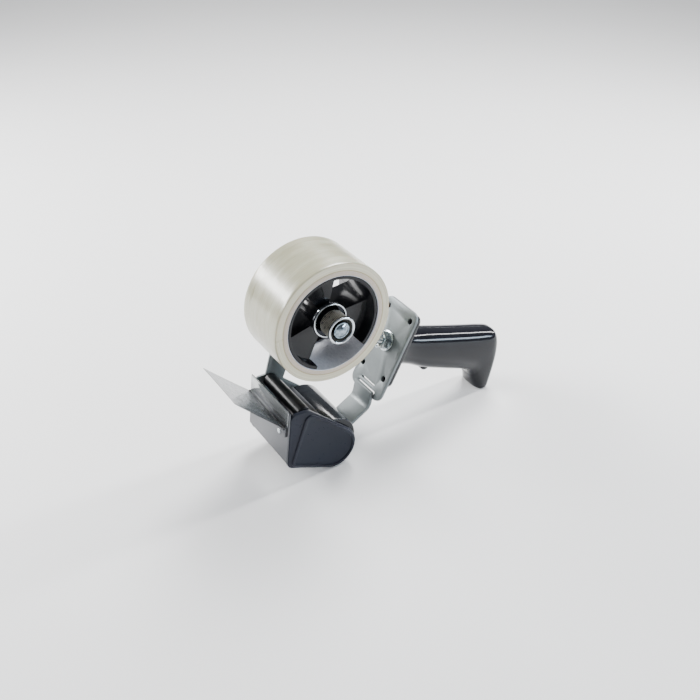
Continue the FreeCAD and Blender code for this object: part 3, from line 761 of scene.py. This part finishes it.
def grip_flange():
    """Rounded flange of the handle against its plate, and the small nub under its neck."""
    corner, half, top, bottom = 6.0, 19.6, 77, 13
    levels = ((-2.55, 0.0), (-6.1, 0.0), (-6.7, 0.3), (-7.0, 0.9), (-7.0, 3.0))
    verts = []
    for out, inset in levels:
        for sign_up, sign_y in ((1, 1), (-1, 1), (-1, -1), (1, -1)):
            corner_up = top if sign_up > 0 else bottom
            for k in range(9):
                t = math.radians(90 * k / 8)
                a, b = math.cos(t), math.sin(t)
                if sign_up != sign_y:
                    a, b = b, a
                up = corner_up - sign_up * (corner - (corner - inset) * a)
                y = sign_y * (half - corner + (corner - inset) * b)
                verts.append(plane_point(PLATE_FOOT, PLATE_UP, up, y, out))
    faces = tube_faces(len(levels), len(verts) // len(levels))
    piece_from("grip_flange", "handle_grip", verts, faces, creases=True)
    nub = SPINDLE + Vector((99.0, 0, -84.5)) * MM
    turned("grip_nub", "handle_grip", nub, rounded_ring(0.3, 4.5, -6.0, 6.0, 1.4), 48)


def rolling_parts():
    """Core, applicator roller and guide roller."""
    core = rounded_ring(38.1, CORE_OUTER_R, -24.2, 24.2, 0.3)
    turned("core_tube", "tape_core", SPINDLE, core, 200)
    turned("roller_sleeve", "roller_rubber", ROLLER, rounded_ring(13.0, 20.0, -26.8, 26.8, 1.0), 160)
    turned("guide_sleeve", "guide_roller", GUIDE, rounded_ring(2.06, 6.0, -26.8, 26.8, 1.3), 96)


# CAD nodes kept in shape, and how far their edges are rounded over, in mm.
SOFTENED = {
    "hub": 0.4, "side_cap": 0.25, "back_plate": 0.25, "front_plate": 0.2, "hub_side_plate": 0.3,
    "inner_side_plate": 0.2, "frame_arm": 0.35, "rear_bracket": 0.3, "handle_nut": 0.25,
    "handle_washer": 0.25, "cap_nut": 0.2, "spring_cup": 0.12, "spindle": 0.25, "tape_guide": 0.15,
    "flap_clamp": 0.2, "clamp_screws": 0.25, "axle_clip": 0.25, "spindle_spacer": 0.3,
    "friction_washer": 0.15, "hub_bushing": 0.2, "roller_core": 0.4, "roller_axle": 0.2,
    "spring_washer": 0.15, "guide_pin": 0.2, "cutter_blade": 0.06,
}


# ---- studio -------------------------------------------------------------------------------

VIEW_AZIMUTH = math.radians(-32.37)
VIEW_ELEVATION = math.radians(34.21)
CENTRE = Vector((0.0, 0.0, 0.07))       # about the middle of the object


def studio():
    """Pale floor and a faint, even sky."""
    floor = bpy.data.meshes.new("floor")
    floor.from_pydata([(-3, -3, 0), (3, -3, 0), (3, 3, 0), (-3, 3, 0)], [], [(0, 1, 2, 3)])
    ground = bpy.data.objects.new("floor", floor)
    bpy.context.collection.objects.link(ground)
    ground.data.materials.append(floor_finish())
    world = bpy.data.worlds.new("studio")
    world.use_nodes = True
    world.node_tree.nodes["Background"].inputs[0].default_value = (0.93, 0.95, 1.0, 1.0)
    world.node_tree.nodes["Background"].inputs[1].default_value = 0.3
    bpy.context.scene.world = world


def hang(name, light, place, towards):
    """Put a light in the scene, facing along a direction."""
    holder = bpy.data.objects.new(name, light)
    holder.location = place
    holder.rotation_euler = towards.to_track_quat("-Z", "Y").to_euler()
    bpy.context.collection.objects.link(holder)


def softbox(name, direction, distance, size, power, colour=(1, 1, 1)):
    """A rectangular light that far off the object, in that direction."""
    light = bpy.data.lights.new(name, "AREA")
    light.shape = "RECTANGLE"
    light.size, light.size_y = size
    light.energy = power
    light.color = colour
    place = CENTRE + Vector(direction).normalized() * distance
    hang(name, light, place, CENTRE - place)


def lights():
    """Key and window from behind, narrow strips for the rollers and handle, and a soft sky."""
    softbox("key", (0.50, 0.45, 0.75), 1.1, (0.45, 0.45), 15)
    softbox("back_window", (-0.605, 0.698, 0.40), 1.1, (0.8, 0.20), 24)
    softbox("top_strip", (0.80, -0.02, 0.57), 1.0, (0.07, 1.0), 12)
    softbox("front_band", (0.687, -0.695, 0.204), 1.2, (0.8, 0.13), 9, (0.72, 0.86, 1.0))
    softbox("fill", (-0.5, -0.7, 0.9), 1.4, (0.7, 0.7), 2)
    sun = bpy.data.lights.new("sky_glow", "SUN")
    sun.energy = 2.0
    sun.angle = math.radians(35)
    hang("sky_glow", sun, (0, 0, 0), Vector((-0.5, -0.45, -0.85)))


def camera():
    """View from above the near side, with the head to the front."""
    right = Vector((math.cos(VIEW_AZIMUTH), math.sin(VIEW_AZIMUTH), 0))
    back = Vector((
        math.sin(VIEW_AZIMUTH) * math.cos(VIEW_ELEVATION),
        -math.cos(VIEW_AZIMUTH) * math.cos(VIEW_ELEVATION),
        math.sin(VIEW_ELEVATION),
    ))
    up = back.cross(right)
    lens = bpy.data.cameras.new("camera")
    lens.lens = 48.95
    lens.sensor_width = 36.0
    lens.clip_start = 0.01
    eye = bpy.data.objects.new("camera", lens)
    eye.location = SPINDLE + right * 0.02424 - up * 0.03007 + back * 0.700
    eye.rotation_euler = Matrix((right, up, back)).transposed().to_euler()
    bpy.context.collection.objects.link(eye)
    bpy.context.scene.camera = eye


# ---- everything together ------------------------------------------------------------------

for name, node in frame["nodes"].items():
    dress(node, SLOT_OF[name])

tape_wrap()
knob()
coil_spring()
threaded_bolt()
flap()
grip()
grip_flange()
rolling_parts()
for name, width in SOFTENED.items():
    soften(name, width)

studio()
camera()
lights()
